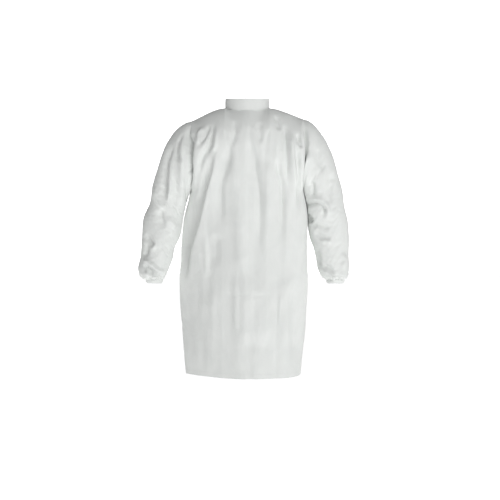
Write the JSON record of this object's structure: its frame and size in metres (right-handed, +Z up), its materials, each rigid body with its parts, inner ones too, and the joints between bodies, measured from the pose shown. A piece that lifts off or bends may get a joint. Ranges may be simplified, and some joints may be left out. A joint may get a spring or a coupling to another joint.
{
  "type": "lab coat",
  "caption": "Knee-length disposable lab coat with a stand collar, long sleeves with elastic cuffs, a snap front and hip pockets, shaped as worn.",
  "frame": {"origin": "between the two side neck points, where the coat rests on the neck and shoulders", "axes": "+Z up as worn, the front faces -Y, the wearer's left is +X"},
  "size_m": [0.7926, 0.2614, 1.037],
  "materials": {
    "coat_cloth": "thin white non-woven cloth, matt with a faint grain",
    "band_cloth": "the same white non-woven cloth, doubled",
    "label_cloth": "smooth white tape, blank",
    "elastic": "ribbed white elastic",
    "snap_plastic": "white moulded plastic, satin"
  },
  "bodies": {
    "body": {"back_panel": "coat_cloth", "left_front_side": "coat_cloth", "right_front_side": "coat_cloth", "collar_back": "band_cloth", "neck_label": "label_cloth", "left_front_fold": "coat_cloth", "right_front_fold": "coat_cloth", "collar_left_fold": "band_cloth", "collar_right_fold": "band_cloth", "left_sleeve_head": "coat_cloth", "right_sleeve_head": "coat_cloth"},
    "left_front": {"left_front_flap": "coat_cloth", "left_front_facing": "band_cloth", "left_hip_pocket": "coat_cloth", "collar_left_end": "band_cloth", "snap_cap_1": "snap_plastic", "snap_socket_1": "snap_plastic", "snap_cap_2": "snap_plastic", "snap_socket_2": "snap_plastic", "snap_cap_3": "snap_plastic", "snap_socket_3": "snap_plastic", "snap_cap_4": "snap_plastic", "snap_socket_4": "snap_plastic", "snap_cap_5": "snap_plastic", "snap_socket_5": "snap_plastic"},
    "right_front": {"right_front_flap": "coat_cloth", "right_front_facing": "band_cloth", "right_hip_pocket": "coat_cloth", "collar_right_end": "band_cloth", "snap_stud_1": "snap_plastic", "snap_post_1": "snap_plastic", "snap_stud_2": "snap_plastic", "snap_post_2": "snap_plastic", "snap_stud_3": "snap_plastic", "snap_post_3": "snap_plastic", "snap_stud_4": "snap_plastic", "snap_post_4": "snap_plastic", "snap_stud_5": "snap_plastic", "snap_post_5": "snap_plastic"},
    "left_arm": {"left_sleeve": "coat_cloth", "left_cuff": "band_cloth", "left_cuff_elastic": "elastic"},
    "right_arm": {"right_sleeve": "coat_cloth", "right_cuff": "band_cloth", "right_cuff_elastic": "elastic"}
  },
  "joints": [
    {"name": "left_front_open", "type": "hinge", "parent": "body", "child": "left_front", "pos_m": [0.078, -0.06, -0.03], "axis": [-0.1215, 0.0101, 0.9925], "range_deg": [0, 40], "deforming": ["left_front_fold", "collar_left_fold"]},
    {"name": "right_front_open", "type": "hinge", "parent": "body", "child": "right_front", "pos_m": [-0.078, -0.06, -0.03], "axis": [0.1215, 0.0101, 0.9925], "range_deg": [-22, 0], "deforming": ["right_front_fold", "collar_right_fold"]},
    {"name": "left_sleeve_raise", "type": "hinge", "parent": "body", "child": "left_arm", "pos_m": [0.2, 0, -0.165], "axis": [0, -1, 0], "range_deg": [0, 40], "deforming": ["left_sleeve_head"]},
    {"name": "right_sleeve_raise", "type": "hinge", "parent": "body", "child": "right_arm", "pos_m": [-0.2, 0, -0.165], "axis": [0, -1, 0], "range_deg": [-40, 0], "deforming": ["right_sleeve_head"]}
  ],
  "couplings": [
    {"joint": "right_front_open", "follows": "left_front_open", "ratio": -0.55}
  ]
}
